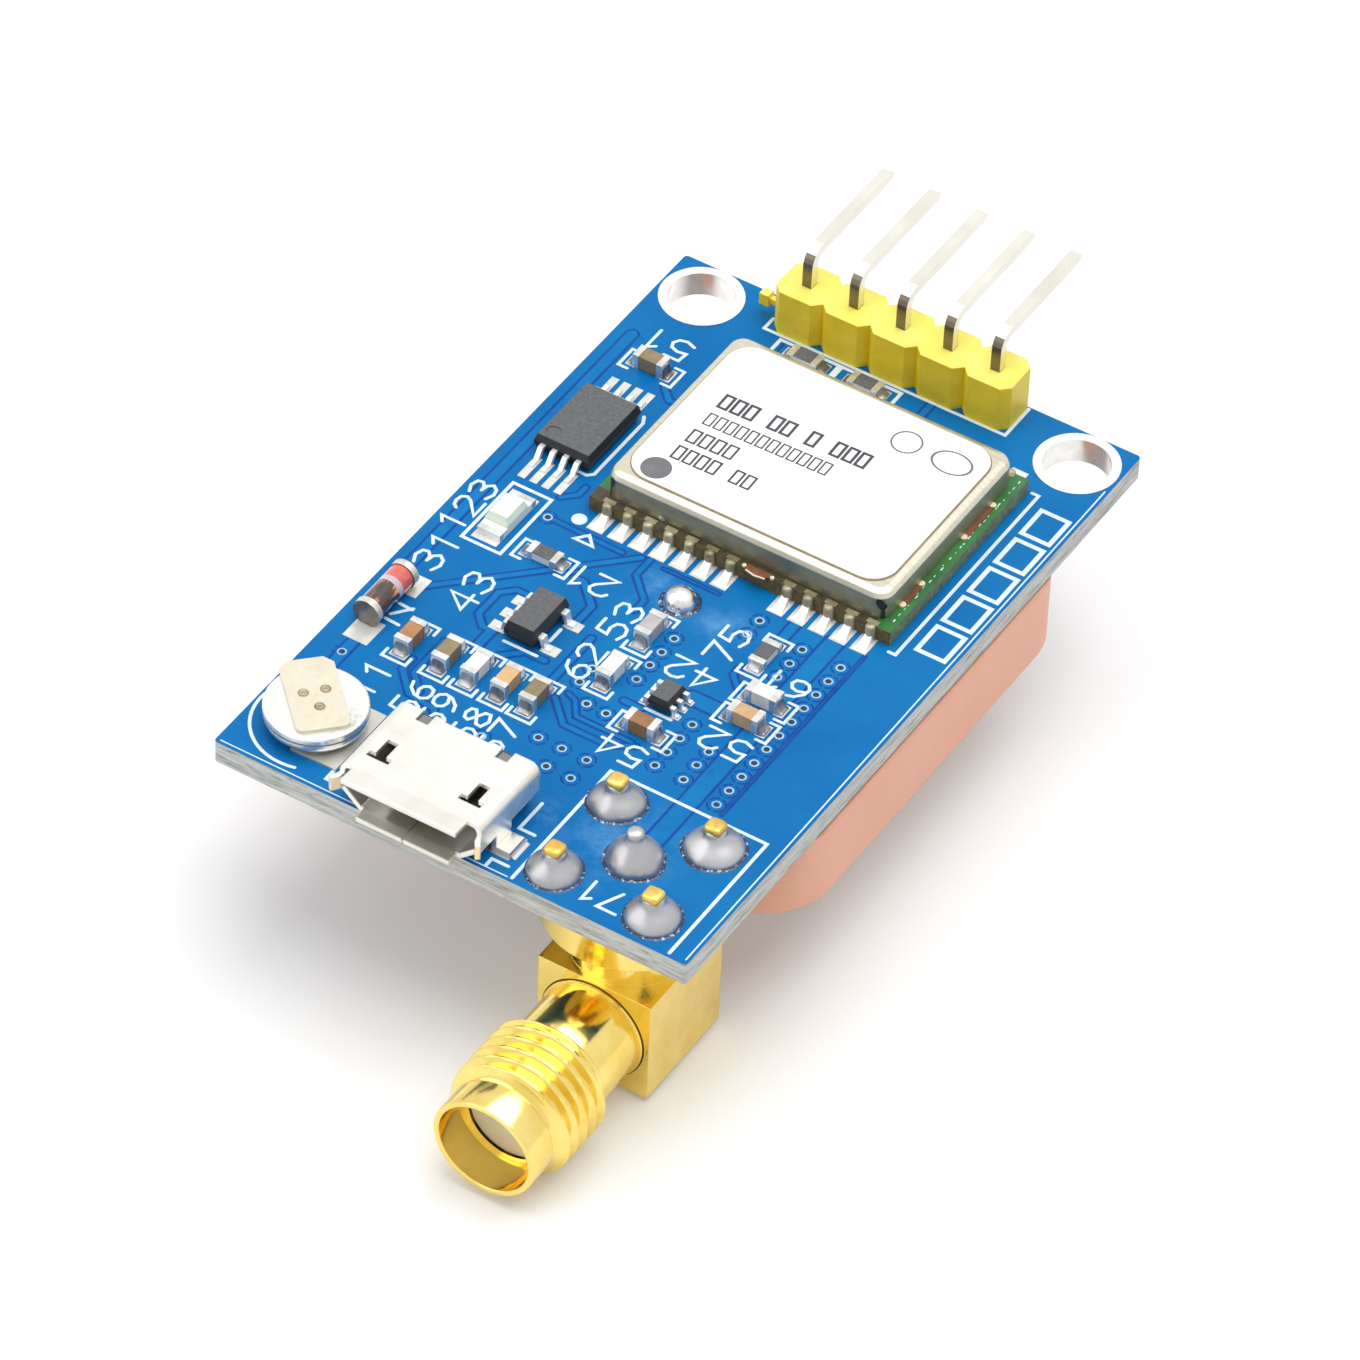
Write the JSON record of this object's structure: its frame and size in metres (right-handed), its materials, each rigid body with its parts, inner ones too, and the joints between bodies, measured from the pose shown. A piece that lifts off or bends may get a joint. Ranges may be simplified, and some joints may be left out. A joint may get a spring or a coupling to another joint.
{
  "type": "satellite positioning receiver board",
  "caption": "Blue receiver board with a shielded radio module, backup cell, micro-USB port and bent pin header on top, and a ceramic patch antenna and right-angle coaxial socket below.",
  "frame": {"origin": "middle of the two mounting holes, on the underside of the board", "axes": "+Z out of the component side, +Y along the board towards the pin header, +X to the right seen from above"},
  "size_m": [0.025, 0.0529, 0.0157],
  "materials": {
    "board": "blue solder mask over copper on pale glass laminate",
    "tin": "satin tin plate",
    "solder": "bright reflowed solder",
    "substrate": "green solder mask",
    "shield": "warm tinned steel sheet",
    "label": "white coated film",
    "black_moulding": "fine matt black moulding compound",
    "inner_ceramic": "grey ceramic",
    "yellow_moulding": "yellow moulded plastic",
    "pin_plating": "pale tinned brass",
    "port_shell": "bright nickel-plated sheet",
    "gold": "bright gold plate",
    "cell_steel": "satin stainless steel",
    "cell_tab": "warm matt nickel sheet",
    "diode_glass": "red glass",
    "white_moulding": "white plastic",
    "lens": "milky clear resin",
    "antenna_ceramic": "fired salmon ceramic",
    "silver": "printed silver",
    "tape": "dark adhesive tape",
    "orange_ceramic": "orange-brown fired ceramic",
    "olive_ceramic": "olive fired ceramic",
    "tan_ceramic": "tan fired ceramic",
    "grey_ceramic": "grey fired ceramic",
    "brown_ceramic": "brown fired ceramic",
    "white_ceramic": "white fired ceramic"
  },
  "bodies": {
    "root": {"pcb": "board", "hole_plating": "tin", "module_substrate": "substrate", "module_solder": "solder", "module_shield": "shield", "module_label": "label", "receiver_chip": "black_moulding", "clock_crystal": "tin", "radio_filter": "inner_ceramic", "header_housing": "yellow_moulding", "header_pins": "pin_plating", "header_solder": "solder", "usb_shell": "port_shell", "usb_insulator": "black_moulding", "usb_contacts": "gold", "usb_solder": "solder", "cell_body": "cell_steel", "cell_top_tab": "cell_tab", "cell_base_tab": "cell_steel", "diode_glass": "diode_glass", "diode_caps": "tin", "led_base": "white_moulding", "led_lens": "lens", "led_terminals": "tin", "memory_body": "black_moulding", "memory_leads": "tin", "regulator_body": "black_moulding", "regulator_leads": "tin", "amplifier_body": "black_moulding", "amplifier_leads": "tin", "sma_body": "gold", "sma_barrel": "gold", "sma_insulator": "white_moulding", "sma_contact": "gold", "sma_solder": "solder", "antenna_ceramic": "antenna_ceramic", "antenna_ground": "silver", "antenna_patch": "silver", "antenna_tape": "tape", "antenna_pin": "tin", "antenna_solder": "solder", "chip_terminals": "tin", "chip_solder": "solder", "resistor_coats": "black_moulding", "capacitor_1": "orange_ceramic", "capacitor_2": "olive_ceramic", "capacitor_3": "tan_ceramic", "capacitor_4": "olive_ceramic", "capacitor_5": "grey_ceramic", "capacitor_6": "brown_ceramic", "capacitor_7": "brown_ceramic", "capacitor_8": "orange_ceramic", "inductor_1": "white_ceramic", "inductor_2": "white_ceramic", "inductor_3": "white_ceramic", "resistor_1": "white_ceramic", "resistor_2": "white_ceramic", "resistor_3": "white_ceramic", "resistor_4": "white_ceramic"}
  },
  "joints": []
}
